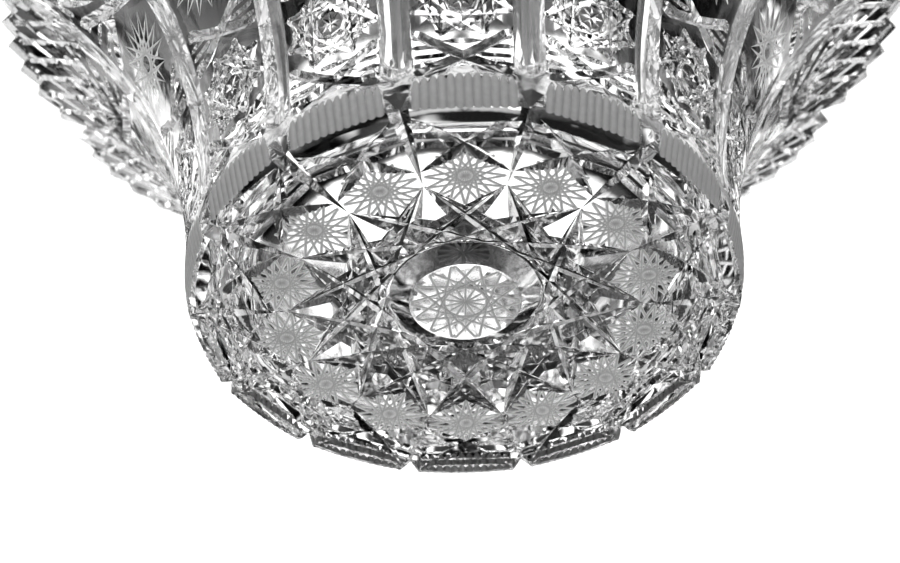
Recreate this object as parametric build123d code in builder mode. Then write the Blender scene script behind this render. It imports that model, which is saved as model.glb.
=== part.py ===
from build123d import *
import math
import os

os.makedirs("parts", exist_ok=True)

# Cut crystal vase, 14 cut sectors round the axis, +Z up, resting plane at z = 0.
# The glass is one blank.  It is given as three zones that meet on flat rings:
# base (star-cut bottom and ribbed heel), wall (fluted, panelled body) and
# rim (flared lip with scallops and teeth).
# Cutting tools are shaped on the +X side and then set round the axis: flutes lie
# at 0, 25.7, 51.4 ... degrees and panel middles half a sector further on.

# ---------------------------------------------------------------- driving sizes (mm)
sectors = 14
foot_radius = 70.0
height = 130.0  # of the outer edge of the lip
rim_radius = 135.0  # of the outer edge of the lip
wall_thickness = 7.0
floor_thickness = 12.0

# ---------------------------------------------------------------- sizes worked out from them
sector_angle = 360.0 / sectors
half_sector = sector_angle / 2

base_top = 0.24 * foot_radius
wall_top = 1.36 * foot_radius

# outer profile: one circular flare, upright at the heel and leaning out at the rim
flare_z = 0.14 * foot_radius
flare_r = 1.01 * foot_radius
flare_rise = height - flare_z
flare_run = rim_radius - flare_r
flare_radius = (flare_rise**2 + flare_run**2) / (2 * flare_run)
flare_centre_r = flare_r + flare_radius

# the lip is square to the wall, so its inner edge stands higher
lip_lean = math.asin(flare_rise / flare_radius)
lip_top = height + wall_thickness * math.sin(lip_lean)

# inner profile: the same flare, one wall thickness further in
inner_radius = flare_radius + wall_thickness
floor_fillet = 0.19 * foot_radius

# heel and bottom
land_edge = 0.965 * foot_radius
heel_edge = 0.992 * foot_radius
heel_edge_z = 0.010 * foot_radius
heel_bulge_r = 1.004 * foot_radius
heel_bulge_z = 0.060 * foot_radius

# centre button with a moat round it
button_radius = 0.204 * foot_radius
button_z = 0.024 * foot_radius
moat_radius = 0.272 * foot_radius
moat_z = 0.066 * foot_radius
moat_edge = 0.290 * foot_radius
ray_count = 16
ray_depth = 0.5

# star polygon of mitre cuts on the bottom: every fifth node is joined
node_radius = 0.64 * foot_radius
star_half_angle = math.radians(5 * sector_angle / 2)
mitre_offset = node_radius * math.cos(star_half_angle)
mitre_reach = node_radius * math.sin(star_half_angle)
mitre_depth = 0.062 * foot_radius
mitre_slope = 1.05
mitre_wheel = (mitre_reach**2 + mitre_depth**2) / (2 * mitre_depth)

# tapered radial cuts that run from the nodes out to the flutes
radial_depth = 0.050 * foot_radius
radial_slope = 1.0
radial_length = foot_radius - node_radius
radial_tilt = math.atan2(radial_depth, radial_length)

# flutes between the panels
flute_half_width = 0.062 * foot_radius
flute_depth = 0.042 * foot_radius

# ribbed heel windows
window_ribs = 12
window_half_width = 0.178 * foot_radius
window_low_r = 0.985 * foot_radius
window_low_z = 0.010 * foot_radius
window_high_r = 1.010 * foot_radius
window_high_z = 0.120 * foot_radius
window_lean = math.atan2(window_high_r - window_low_r, window_high_z - window_low_z)
window_reach = 0.26 * foot_radius
rib_depth = 0.4
window_roundness = 0.62  # 0 is a flat facet, 1 follows the round heel

# panel cuts
cut_slope = 1.0
cross_depth = 0.026 * foot_radius
cross_half_width = 0.185 * foot_radius
cross_half_rise = 0.075 * foot_radius
low_cross_z = 0.310 * foot_radius
high_cross_z = 0.740 * foot_radius
high_cross_half_width = 0.205 * foot_radius
hob_z = 0.500 * foot_radius
hob_button = 0.050 * foot_radius
hob_ring = 0.086 * foot_radius
hob_depth = 0.026 * foot_radius
hob_bevel = 25.0
fan_z = 1.020 * foot_radius
fan_lines = 6
fan_reach = 0.150 * foot_radius
fan_depth = 0.014 * foot_radius

# rim outline
teeth_per_sector = 6
scallop_rise = 0.055 * foot_radius
tooth_height = 0.040 * foot_radius


def outer_r(z):
    """Radius of the outer flare at height z."""
    return flare_centre_r - math.sqrt(flare_radius**2 - (z - flare_z) ** 2)


def inner_r(z):
    """Radius of the inner flare at height z."""
    return flare_centre_r - math.sqrt(inner_radius**2 - (z - flare_z) ** 2)


def wall_plane(z):
    """Plane touching the wall on the +X side: x across the panel, y up the wall, z out."""
    lean = math.asin((z - flare_z) / flare_radius)
    out = (math.cos(lean), 0, -math.sin(lean))
    return Plane(origin=(outer_r(z), 0, z), x_dir=(0, 1, 0), z_dir=out)


def straight_cut(face, angle, half_length, depth, slope):
    """A straight V cut through the origin of a plane, at an angle in that plane."""
    c = math.cos(math.radians(angle))
    s = math.sin(math.radians(angle))
    start = face.from_local_coords((-c * half_length, -s * half_length, 0))
    along = Vector(*(face.x_dir * c + face.y_dir * s))
    section = Plane(origin=start, x_dir=face.z_dir, z_dir=along)
    with BuildPart() as cut:
        with BuildSketch(section):
            with BuildLine():
                Polyline(
                    (-depth, 0),
                    (2 * depth, 3 * depth * slope),
                    (2 * depth, -3 * depth * slope),
                    close=True,
                )
            make_face()
        extrude(amount=2 * half_length)
    return cut.part


# ---------------------------------------------------------------- the blank and its hollow
# the blank's lip face runs on a little, past the inner edge, for a clean hollow
mid_z = (flare_z + height) / 2
blank_top_r = rim_radius - 1.3 * wall_thickness * math.cos(lip_lean)
blank_top_z = height + 1.3 * wall_thickness * math.sin(lip_lean)

with BuildPart() as outer_blank:
    with BuildSketch(Plane.XZ):
        with BuildLine():
            Polyline(
                (0, blank_top_z),
                (0, button_z),
                (button_radius, button_z),
                (moat_radius, moat_z),
                (moat_edge, 0),
                (land_edge, 0),
                (heel_edge, heel_edge_z),
            )
            ThreePointArc((heel_edge, heel_edge_z), (heel_bulge_r, heel_bulge_z), (flare_r, flare_z))
            ThreePointArc((flare_r, flare_z), (outer_r(mid_z), mid_z), (rim_radius, height))
            Polyline((rim_radius, height), (blank_top_r, blank_top_z), (0, blank_top_z))
        make_face()
    revolve(axis=Axis.Z)

hollow_low_r = inner_r(floor_thickness)
hollow_top = lip_top + 0.5 * wall_thickness
hollow_mid_z = (floor_thickness + hollow_top) / 2

with BuildPart() as hollow:
    with BuildSketch(Plane.XZ) as hollow_section:
        with BuildLine():
            Polyline((0, hollow_top), (0, floor_thickness), (hollow_low_r, floor_thickness))
            ThreePointArc(
                (hollow_low_r, floor_thickness),
                (inner_r(hollow_mid_z), hollow_mid_z),
                (inner_r(hollow_top), hollow_top),
            )
            Line((inner_r(hollow_top), hollow_top), (0, hollow_top))
        make_face()
        fillet(hollow_section.vertices().group_by(Axis.Y)[0].sort_by(Axis.X)[-1], floor_fillet)
    revolve(axis=Axis.Z)

# ---------------------------------------------------------------- cutting tools for the bottom
# one line of the star polygon: the V rim of a large wheel, deepest half way along
with BuildPart() as mitre_tool:
    with BuildSketch(Plane.XZ):
        with BuildLine():
            Polyline(
                (mitre_offset, mitre_depth),
                (mitre_offset + 3 * mitre_depth * mitre_slope, -2 * mitre_depth),
                (mitre_offset - 3 * mitre_depth * mitre_slope, -2 * mitre_depth),
                close=True,
            )
        make_face()
    revolve(axis=Axis((0, 0, mitre_depth - mitre_wheel), (1, 0, 0)))

# one tapered radial cut: a V bar that enters at a node and grows outward
radial_along = (math.cos(radial_tilt), 0, math.sin(radial_tilt))
with BuildPart() as radial_tool:
    with BuildSketch(Plane(origin=(node_radius, 0, 0), x_dir=(0, 1, 0), z_dir=radial_along)):
        with BuildLine():
            Polyline(
                (0, 0),
                (4 * radial_depth * radial_slope, -4 * radial_depth),
                (-4 * radial_depth * radial_slope, -4 * radial_depth),
                close=True,
            )
        make_face()
    extrude(amount=0.5 * foot_radius)

# one ribbed heel window: a flat facet with a corrugated face
window_up = Vector(math.sin(window_lean), 0, math.cos(window_lean))
window_start = Vector(window_low_r, 0, window_low_z) - window_up * (0.25 * window_reach)
rib_pitch = 2 * window_half_width / window_ribs
with BuildPart() as window_tool:
    with BuildSketch(Plane(origin=window_start, x_dir=(0, 1, 0), z_dir=window_up)):
        with BuildLine():
            rib_points = [(-window_half_width, -0.2 * foot_radius)]
            for step in range(2 * window_ribs + 1):
                across = -window_half_width + step * rib_pitch / 2
                bend = window_roundness * (foot_radius - math.sqrt(foot_radius**2 - across**2))
                groove = rib_depth if step % 2 == 1 else 0
                rib_points.append((across, bend + groove))
            rib_points.append((window_half_width, -0.2 * foot_radius))
            Polyline(*rib_points, close=True)
        make_face()
    extrude(amount=1.25 * window_reach)

# the fine rays on the centre button
button_face = Plane(origin=(0, 0, button_z), x_dir=(1, 0, 0), z_dir=(0, 0, -1))
with BuildPart() as ray_tool:
    for ray in range(ray_count // 2):
        add(straight_cut(button_face, ray * 360 / ray_count, 0.95 * button_radius, ray_depth, 1.0))

# ---------------------------------------------------------------- cutting tools for the wall
# one flute: a V section turned round the centre of the flare
with BuildPart() as flute_tool:
    with BuildSketch(Plane.XY.offset(flare_z)):
        with BuildLine():
            Polyline(
                (flare_r - flute_depth, 0),
                (flare_r + 2 * flute_depth, 3 * flute_half_width),
                (flare_r + 2 * flute_depth, -3 * flute_half_width),
                close=True,
            )
        make_face()
    revolve(axis=Axis((flare_centre_r, 0, flare_z), (0, 1, 0)), revolution_arc=65)


def cross_tool(z, half_width, half_rise):
    """Two straight cuts that cross in the middle of a panel."""
    angle = math.degrees(math.atan2(half_rise, half_width))
    reach = 1.15 * math.hypot(half_width, half_rise)
    with BuildPart() as cross:
        add(straight_cut(wall_plane(z), angle, reach, cross_depth, cut_slope))
        add(straight_cut(wall_plane(z), -angle, reach, cross_depth, cut_slope))
    return cross.part


# octagonal button in an octagonal pocket
with BuildPart() as hob_tool:
    with BuildSketch(wall_plane(hob_z).offset(-hob_depth)):
        RegularPolygon(hob_ring, 8, rotation=22.5)
        RegularPolygon(hob_button * 1.2, 8, rotation=22.5, mode=Mode.SUBTRACT)
    extrude(amount=3 * hob_depth)

# long rays crossing in one point, a fan star
with BuildPart() as fan_tool:
    for line in range(fan_lines):
        fan_angle = (line + 0.5) * 180 / fan_lines
        add(straight_cut(wall_plane(fan_z), fan_angle, fan_reach, fan_depth, cut_slope))

# ---------------------------------------------------------------- cutting tool for the rim
# everything above a scalloped, toothed outline, one sector wide, cut square to the wall
rim_half_width = rim_radius * math.tan(math.radians(half_sector))
with BuildPart() as teeth_tool:
    with BuildSketch(wall_plane(height).offset(-2 * wall_thickness)):
        with BuildLine():
            rim_points = []
            for step in range(2 * teeth_per_sector + 1):
                across = rim_half_width * (step / teeth_per_sector - 1)
                turn_back = rim_radius - math.sqrt(rim_radius**2 - across**2)
                dip = scallop_rise * (across / rim_half_width) ** 2
                notch = tooth_height if step % 2 == 0 else 0
                level = -turn_back * math.sin(lip_lean) - dip - notch - 0.1
                rim_points.append((across, level))
            rim_points.append((rim_half_width, 10))
            rim_points.append((-rim_half_width, 10))
            Polyline(*rim_points, close=True)
        make_face()
    extrude(amount=3 * wall_thickness)

# ---------------------------------------------------------------- base
with BuildPart() as base:
    add(outer_blank.part)
    add(hollow.part, mode=Mode.SUBTRACT)
    split(bisect_by=Plane.XY.offset(base_top), keep=Keep.BOTTOM)
    with PolarLocations(0, sectors, start_angle=half_sector):
        add(window_tool.part, mode=Mode.SUBTRACT)
    with PolarLocations(0, sectors, start_angle=half_sector):
        add(mitre_tool.part, mode=Mode.SUBTRACT)
    with PolarLocations(0, sectors):
        add(radial_tool.part, mode=Mode.SUBTRACT)
    with PolarLocations(0, sectors):
        add(flute_tool.part, mode=Mode.SUBTRACT)
    add(ray_tool.part, mode=Mode.SUBTRACT)
base.part.label = "base"
export_step(base.part, "parts/base.step")

# ---------------------------------------------------------------- wall
low_cross = cross_tool(low_cross_z, cross_half_width, cross_half_rise)
high_cross = cross_tool(high_cross_z, high_cross_half_width, cross_half_rise)

with BuildPart() as wall:
    add(outer_blank.part)
    add(hollow.part, mode=Mode.SUBTRACT)
    split(bisect_by=Plane.XY.offset(base_top), keep=Keep.TOP)
    split(bisect_by=Plane.XY.offset(wall_top), keep=Keep.BOTTOM)
    with PolarLocations(0, sectors):
        add(flute_tool.part, mode=Mode.SUBTRACT)
    with PolarLocations(0, sectors, start_angle=half_sector):
        add(hob_tool.part, mode=Mode.SUBTRACT)
    with PolarLocations(0, sectors, start_angle=half_sector):
        add(low_cross, mode=Mode.SUBTRACT)
    with PolarLocations(0, sectors, start_angle=half_sector):
        add(high_cross, mode=Mode.SUBTRACT)
    with PolarLocations(0, sectors, start_angle=half_sector):
        add(fan_tool.part, mode=Mode.SUBTRACT)
wall.part.label = "wall"
export_step(wall.part, "parts/wall.step")

# ---------------------------------------------------------------- rim
with BuildPart() as rim:
    add(outer_blank.part)
    add(hollow.part, mode=Mode.SUBTRACT)
    split(bisect_by=Plane.XY.offset(wall_top), keep=Keep.TOP)
    with PolarLocations(0, sectors):
        add(flute_tool.part, mode=Mode.SUBTRACT)
    with PolarLocations(0, sectors, start_angle=half_sector):
        add(teeth_tool.part, mode=Mode.SUBTRACT)
rim.part.label = "rim"
export_step(rim.part, "parts/rim.step")
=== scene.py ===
import math

import bmesh
import bpy
import numpy as np
from mathutils import Matrix, Vector
from mathutils.geometry import delaunay_2d_cdt


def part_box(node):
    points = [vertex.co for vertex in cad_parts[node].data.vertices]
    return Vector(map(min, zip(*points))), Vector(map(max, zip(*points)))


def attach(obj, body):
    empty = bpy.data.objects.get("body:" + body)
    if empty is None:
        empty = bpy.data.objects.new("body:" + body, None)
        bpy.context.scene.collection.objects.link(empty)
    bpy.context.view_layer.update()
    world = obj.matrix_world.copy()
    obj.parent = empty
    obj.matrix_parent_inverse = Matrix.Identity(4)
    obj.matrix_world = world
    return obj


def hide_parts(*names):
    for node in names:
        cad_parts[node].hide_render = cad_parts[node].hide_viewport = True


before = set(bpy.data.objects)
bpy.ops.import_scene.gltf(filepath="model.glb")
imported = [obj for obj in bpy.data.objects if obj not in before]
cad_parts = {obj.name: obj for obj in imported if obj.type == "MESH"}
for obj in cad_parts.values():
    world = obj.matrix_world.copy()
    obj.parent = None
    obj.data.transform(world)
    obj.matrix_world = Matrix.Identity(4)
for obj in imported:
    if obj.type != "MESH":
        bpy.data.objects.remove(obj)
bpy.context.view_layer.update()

# All lengths in the geometry part are millimetres; the meshes are written in metres.
MM = 0.001

# ------------------------------------------------------------------ sizes from the frame
base_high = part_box("base")[1]
wall_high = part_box("wall")[1]
rim_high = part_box("rim")[1]

SEAM_LOW = base_high.z / MM
SEAM_HIGH = wall_high.z / MM
TOP = rim_high.z / MM
LIP = rim_high.y / MM

# The lower seam lies at this share of the foot radius, and FOOT is that radius.
SEAM_SHARE = 0.24
FOOT = base_high.z / MM / SEAM_SHARE

SECTORS = 14
SECTOR = 2 * math.pi / SECTORS
HALF = SECTOR / 2

# Thickness of the wall and the floor, and the round between them inside.
GLASS = 0.100 * FOOT
FLOOR = 12 / 70 * FOOT
FLOOR_FILLET = 0.19 * FOOT

# Material slots of the three pieces.
CLEAR = 0
FROST = 1
RIB = 2
SEAM = 3
FLUTE = 4
INNER = 5


# ------------------------------------------------------------------ profile of the outer surface
# The flare is an arc that starts upright at this height and radius, above the heel.
FLARE_Z = 0.14 * FOOT
FLARE_R = 1.01 * FOOT


def flare_radius(height):
    """Radius of the arc that leaves the heel upright and reaches the lip's outer edge."""
    rise = height - FLARE_Z
    run = LIP - FLARE_R
    return (rise**2 + run**2) / (2 * run)


# The lip is square to the wall, so its outer edge lies below the top of the vase.
HEIGHT = TOP
for _ in range(20):
    HEIGHT = TOP - GLASS * (HEIGHT - FLARE_Z) / flare_radius(HEIGHT)
RHO = flare_radius(HEIGHT)
FLARE_CENTRE = FLARE_R + RHO


def flare_r(z, radius=RHO):
    """Outer radius of the flare at height z, or the inner one for a wider arc."""
    return FLARE_CENTRE - math.sqrt(radius**2 - (z - FLARE_Z) ** 2)


def arc_points(a, b, c, count):
    """Points of the circle through a, b and c, from a to c."""
    ax, ay = a
    bx, by = b
    cx, cy = c
    det = 2 * (ax * (by - cy) + bx * (cy - ay) + cx * (ay - by))
    aa = ax * ax + ay * ay
    bb = bx * bx + by * by
    cc = cx * cx + cy * cy
    ux = (aa * (by - cy) + bb * (cy - ay) + cc * (ay - by)) / det
    uy = (aa * (cx - bx) + bb * (ax - cx) + cc * (bx - ax)) / det
    radius = math.hypot(ax - ux, ay - uy)
    start = math.atan2(ay - uy, ax - ux)
    end = math.atan2(cy - uy, cx - ux)
    turn = np.linspace(start, end, count)
    return [(ux + radius * math.cos(t), uy + radius * math.sin(t)) for t in turn]


# The flat land of the foot ends in a small slope, and the heel bulges slightly above it.
LAND_EDGE = 0.965 * FOOT
HEEL_EDGE = (0.992 * FOOT, 0.010 * FOOT)
HEEL_BULGE = (1.004 * FOOT, 0.060 * FOOT)
# Points of the profile's three parts, of the even profile made from them and of the
# smoothing of its normals, and the millimetres by which it runs on past the lip.
LAND_STEPS = 200
HEEL_STEPS = 40
FLARE_STEPS = 500
PROFILE_STEPS = 3000
NORMAL_BLUR = 41
PAST_LIP = 3.0


def make_profile():
    """Arc length, radius, height and outward normal along the outer profile."""
    pts = [(r, 0.0) for r in np.linspace(0, LAND_EDGE, LAND_STEPS)]
    pts += [HEEL_EDGE]
    pts += arc_points(HEEL_EDGE, HEEL_BULGE, (FLARE_R, FLARE_Z), HEEL_STEPS)[1:]
    pts += [(flare_r(z), z) for z in np.linspace(FLARE_Z, HEIGHT + PAST_LIP, FLARE_STEPS)[1:]]
    pts = np.array(pts)
    step = np.hypot(*np.diff(pts, axis=0).T)
    s = np.concatenate([[0], np.cumsum(step)])
    even = np.linspace(0, s[-1], PROFILE_STEPS)
    r = np.interp(even, s, pts[:, 0])
    z = np.interp(even, s, pts[:, 1])
    dr = np.gradient(r, even)
    dz = np.gradient(z, even)
    blur = np.ones(NORMAL_BLUR) / NORMAL_BLUR
    nr = np.convolve(np.pad(dz, NORMAL_BLUR // 2, mode="edge"), blur, mode="valid")
    nz = np.convolve(np.pad(-dr, NORMAL_BLUR // 2, mode="edge"), blur, mode="valid")
    size = np.hypot(nr, nz)
    return even, r, z, nr / size, nz / size


P_S, P_R, P_Z, P_NR, P_NZ = make_profile()


def s_at(z):
    """Arc length of the outer profile at height z."""
    on = P_S > LAND_EDGE
    return float(np.interp(z, P_Z[on], P_S[on]))


def radius_at(s):
    """Radius of the outer profile at arc length s."""
    return np.interp(s, P_S, P_R)


def outer_point(chart, depth):
    """Points of the cut outer surface. A chart point is (s sin a, s cos a)."""
    s = np.hypot(chart[:, 0], chart[:, 1])
    turn = np.arctan2(chart[:, 0], chart[:, 1])
    r = np.interp(s, P_S, P_R) - depth * np.interp(s, P_S, P_NR)
    z = np.interp(s, P_S, P_Z) - depth * np.interp(s, P_S, P_NZ)
    return np.stack([r * np.sin(turn), -r * np.cos(turn), z], 1)


FILLET_Z = FLOOR + FLOOR_FILLET
FILLET_C = flare_r(FILLET_Z, RHO + GLASS) - FLOOR_FILLET


def fillet_r(z):
    """Radius of the hollow where its wall rounds into its floor."""
    return FILLET_C + np.sqrt(np.maximum(FLOOR_FILLET**2 - (FILLET_Z - z) ** 2, 0))


def inner_wall(s):
    """Radius and height of the smooth inner surface behind the outer arc length s."""
    r = np.interp(s, P_S, P_R) - GLASS * np.interp(s, P_S, P_NR)
    z = np.interp(s, P_S, P_Z) - GLASS * np.interp(s, P_S, P_NZ)
    low = z < FILLET_Z
    r = np.where(low, np.minimum(r, fillet_r(np.minimum(z, FILLET_Z))), r)
    return r, z


S_LOW = s_at(SEAM_LOW)
S_HIGH = s_at(SEAM_HIGH)
S_LIP = s_at(HEIGHT)


def inner_point(chart):
    """Points of the smooth inner surface behind chart points."""
    s = np.hypot(chart[:, 0], chart[:, 1])
    turn = np.arctan2(chart[:, 0], chart[:, 1])
    r, z = inner_wall(np.maximum(s, S_LOW))
    r0 = inner_wall(np.array([S_LOW]))[0]
    inside = s < S_LOW
    rf = r0[0] * s / S_LOW
    round_z = FILLET_Z - np.sqrt(np.maximum(FLOOR_FILLET**2 - np.maximum(rf - FILLET_C, 0) ** 2, 0))
    r = np.where(inside, rf, r)
    z = np.where(inside, round_z, z)
    return np.stack([r * np.sin(turn), -r * np.cos(turn), z], 1)


# ------------------------------------------------------------------ sizes of the cut features
# The octagonal button in the middle of a panel's hobstar, in its moat.
HOB_Z = 0.490 * FOOT
HOB_BUTTON = 0.050 * FOOT
HOB_RING = 0.070 * FOOT
HOB_DEPTH = 0.024 * FOOT
HOB_SUNK = 0.006 * FOOT
HOB_WALL = 0.35

# The frosted star in the upper part of a panel.
FAN_Z = 1.030 * FOOT

# The round button in the middle of the bottom, in its moat.
BUTTON_R = 0.204 * FOOT
BUTTON_Z = 0.024 * FOOT
MOAT_R = 0.272 * FOOT
MOAT_Z = 0.066 * FOOT
MOAT_EDGE = 0.290 * FOOT

# The flutes between the panels.
FLUTE_WIDTH = 0.056 * FOOT
FLUTE_DEPTH = 0.034 * FOOT
FLUTE_LOW = 0.135 * FOOT
FLUTE_ROUND = 0.055 * FOOT

# The ribbed windows in the heel: a leaning, bowed face from its low to its high edge.
# Their outline is searched up to WINDOW_TOP and nothing is cut above WINDOW_END.
WINDOW_HALF = 0.176 * FOOT
WINDOW_ROUND = 0.62
WINDOW_LOW = (0.985 * FOOT, 0.010 * FOOT)
WINDOW_HIGH = (1.010 * FOOT, 0.120 * FOOT)
WINDOW_TOP = 0.26 * FOOT
WINDOW_END = 0.3 * FOOT
# The least share of a window's depth direction that points along the blank's normal.
FLATTEST = 0.3
RIBS = 12
RIB_DEPTH = 0.0055 * FOOT
RIB_PITCH = 2 * WINDOW_HALF / RIBS

# Steps of the lip's saw teeth per half sector, their depth, and the sag of its scallops.
TEETH = 6
TOOTH = 0.040 * FOOT
SCALLOP = 0.055 * FOOT

# Points nearer to the half sector's sides than ON_SIDE are moved onto them, points nearer
# to each other than MERGE become one, and triangles of less than half SLIVER are left out.
ON_SIDE = 2e-3
MERGE = 0.012
SLIVER = 1e-7


# ------------------------------------------------------------------ cuts
# A cut is a V groove between two chart points. Its depth and width follow `rise` along its
# length: a leaf swells and fades, a wedge deepens to one end, a bar is even with round ends.
# A bar's ends are BAR_END widths long, but never more than the share LONGEST_END of it; the
# steep end of a wedge is WEDGE_END mm long.
BAR_END = 1.5
LONGEST_END = 0.45
WEDGE_END = 1.2
cuts = []


def polar(angle, s):
    """Chart point at arc length s; angle 0 is the middle of a panel."""
    return np.array([s * math.sin(angle), s * math.cos(angle)])


def add_cut(a, b, width, depth, rise="leaf", tag=CLEAR, parts=6, on=None, core=0.0):
    """A cut from a to b, straight on the glass. `on` names a button that it lies on."""
    mid = (a + b) / 2
    s = math.hypot(*mid)
    out = mid / s if s > 0.01 else np.array([0.0, 1.0])
    side = np.array([out[1], -out[0]])
    stretch = float(radius_at(s)) / s if s > 1 else 1.0
    flat = np.stack([side * stretch, out])
    cut = {
        "a": flat @ a,
        "b": flat @ b,
        "flat": flat,
        "back": np.linalg.inv(flat),
        "w": width,
        "d": depth,
        "rise": rise,
        "tag": tag,
        "parts": parts,
        "on": on,
        "core": core,
    }
    cut["len"] = float(np.linalg.norm(cut["b"] - cut["a"]))
    cut["dir"] = (cut["b"] - cut["a"]) / cut["len"]
    cut["nor"] = np.array([-cut["dir"][1], cut["dir"][0]])
    cuts.append(cut)


def rise_at(cut, t):
    """Share of the cut's full depth and width at the share t of its length."""
    t = np.clip(t, 0, 1)
    if cut["rise"] == "leaf":
        return 4 * t * (1 - t)
    if cut["rise"] == "wedge":
        end = np.clip((1 - t) * cut["len"] / WEDGE_END, 0, 1)
        return t * end
    end = BAR_END * cut["w"]
    fade = np.clip(np.minimum(t, 1 - t) * cut["len"] / end, 0, 1)
    return np.sqrt(fade)


def rise_steps(cut):
    """The shares of a cut's length at which its crease lines have a point."""
    if cut["rise"] == "leaf":
        return np.linspace(0, 1, cut["parts"] + 1)
    if cut["rise"] == "wedge":
        return np.array([0, 0.5, 1 - WEDGE_END / cut["len"], 1])
    end = min(BAR_END * cut["w"] / cut["len"], LONGEST_END)
    return np.array([0, end / 3, end, 1 - end, 1 - end / 3, 1])


def cut_depth(cut, pts):
    """Depth of a cut at chart points, below zero outside it. A core has its own slope."""
    flat = pts @ cut["flat"].T - cut["a"]
    t = flat @ cut["dir"] / cut["len"]
    off = np.abs(flat @ cut["nor"])
    rise = np.where((t > 0) & (t < 1), rise_at(cut, t), 0)
    safe = np.maximum(cut["w"] * rise, 1e-9)
    core = cut["core"]
    steps = ((0, 1), (core, 1 - 0.5 * core), (1, 0), (2, -1)) if core else ((0, 1), (2, -1))
    depth = cut["d"] * rise * np.interp(off / safe, *zip(*steps))
    return np.where(rise > 0, depth, -1)


def star_lines(centre, radius, points, step, turn, stretch=1.0):
    """End pairs of a star polygon in the chart; stretch undoes the chart's widening."""
    out = centre / max(math.hypot(*centre), 1e-9)
    side = np.array([out[1], -out[0]])
    ends = []
    for k in range(points):
        a = turn + k * 2 * math.pi / points
        ends.append(centre + radius * (math.sin(a) * side / stretch + math.cos(a) * out))
    return [(ends[k], ends[(k + step) % points]) for k in range(points)]


def panel_point(centre_angle, u, z):
    """Chart point u mm to the side of a panel's middle line, at height z."""
    s = s_at(z)
    return polar(centre_angle + u / float(radius_at(s)), s)


def add_star(centre, radius, points, step, turn, size, stretch=1.0, count=None, **kind):
    """A star polygon of cuts; radius, width and depth are shares of the foot radius."""
    width, depth = size
    for a, b in star_lines(centre, radius * FOOT, points, step, turn, stretch)[:count]:
        add_cut(a, b, width * FOOT, depth * FOOT, **kind)


def add_cross(angle, halves, heights, size, strands, strand_end, strand_size):
    """Two crossing mitres on a panel, with level strands in the triangles beside them.

    All sizes are shares of the foot radius. A strand is a height and the distance from
    the panel's middle at which it starts.
    """
    for side in (-1, 1):
        a = panel_point(angle, -side * halves[0] * FOOT, heights[0] * FOOT)
        b = panel_point(angle, side * halves[1] * FOOT, heights[1] * FOOT)
        add_cut(a, b, size[0] * FOOT, size[1] * FOOT, rise="bar")
        for z, near in strands:
            a = panel_point(angle, side * near * FOOT, z * FOOT)
            b = panel_point(angle, side * strand_end * FOOT, z * FOOT)
            add_cut(a, b, strand_size[0] * FOOT, strand_size[1] * FOOT, rise="bar")


# The long mitres meet in a node between every two base stars.
NODE = 0.64 * FOOT
LONG_MITRE = (0.062 * FOOT, 0.060 * FOOT)
LONG_CORE = 0.30
THIN_MITRE = (0.026 * FOOT, 0.024 * FOOT)
WEDGE = (0.045 * FOOT, 0.047 * FOOT)
WEDGE_TOP = 0.085 * FOOT

# Crossing strands between the base stars and the heel, and level strands behind them.
OUTER_STRAND = (0.027 * FOOT, 0.025 * FOOT)
OUTER_FROM = (math.radians(10.8), 0.960 * FOOT)
OUTER_TO = (math.radians(12.6), 0.705 * FOOT)
LEVEL_STRAND = (0.016 * FOOT, 0.014 * FOOT)
LEVEL_STRANDS = ((0.905, 0.200), (0.862, 0.190), (0.818, 0.178))

# A star is its radius, points, step from point to point, turn, and cut width and depth.
STAR_AT = 0.667 * FOOT
BASE_STAR = 0.142, 16, 7, 0.0, (0.0062, 0.0040)
BASE_RAYS = 0.046, 16, 8, 0.0, (0.0050, 0.0040)
BUTTON_CHORDS = 0.200, 16, 6, math.pi / 16, (0.0060, 0.0040)
BUTTON_RAYS = 0.195, 16, 8, 0.0, (0.0055, 0.0040)
HOB_LATTICE = 0.188, 8, 3, math.pi / 8, (0.0110, 0.0110)
HOB_SQUARES = 0.150, 8, 2, 0.0, (0.0090, 0.0090)
HOB_OUTLINE = 0.172, 8, 2, math.pi / 8, (0.0090, 0.0090)
HOB_RAYS = 0.0485, 8, 4, 0.0, (0.0075, 0.0045)
FAN_STAR = 0.200, 16, 7, 0.0, (0.0075, 0.0045)


def bottom_cuts():
    """Crossing mitres, wedges into the heel, strands and frosted stars of the bottom."""
    for step, parts, size, core in ((5, 10, LONG_MITRE, LONG_CORE), (4, 8, THIN_MITRE, 0.0)):
        for k in range(SECTORS):
            a = polar(HALF + k * SECTOR, NODE)
            b = polar(HALF + (k + step) * SECTOR, NODE)
            add_cut(a, b, *size, parts=parts, core=core)
    for k in (-1, 0):
        angle = HALF + k * SECTOR
        add_cut(polar(angle, NODE), polar(angle, s_at(WEDGE_TOP)), *WEDGE, rise="wedge")
    for k in (-1, 0, 1):
        angle = k * SECTOR
        for side in (-1, 1):
            a = polar(angle - side * OUTER_FROM[0], OUTER_FROM[1])
            b = polar(angle + side * OUTER_TO[0], OUTER_TO[1])
            add_cut(a, b, *OUTER_STRAND, parts=8)
        out = polar(angle, 1.0)
        along = np.array([out[1], -out[0]])
        for s, half in LEVEL_STRANDS:
            middle = polar(angle, s * FOOT)
            reach = along * half * FOOT
            add_cut(middle - reach, middle + reach, *LEVEL_STRAND, rise="bar")
        centre = polar(angle, STAR_AT)
        add_star(centre, *BASE_STAR, rise="bar", tag=FROST)
        add_star(centre, *BASE_RAYS, count=8, parts=4, tag=FROST)


def button_cuts():
    """The frosted star on the round button: chords round the edge and eight rays across."""
    middle = polar(0, 1e-9)
    add_star(middle, *BUTTON_CHORDS, rise="bar", tag=FROST, on="button")
    add_star(middle, *BUTTON_RAYS, count=8, tag=FROST, on="button")


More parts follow.
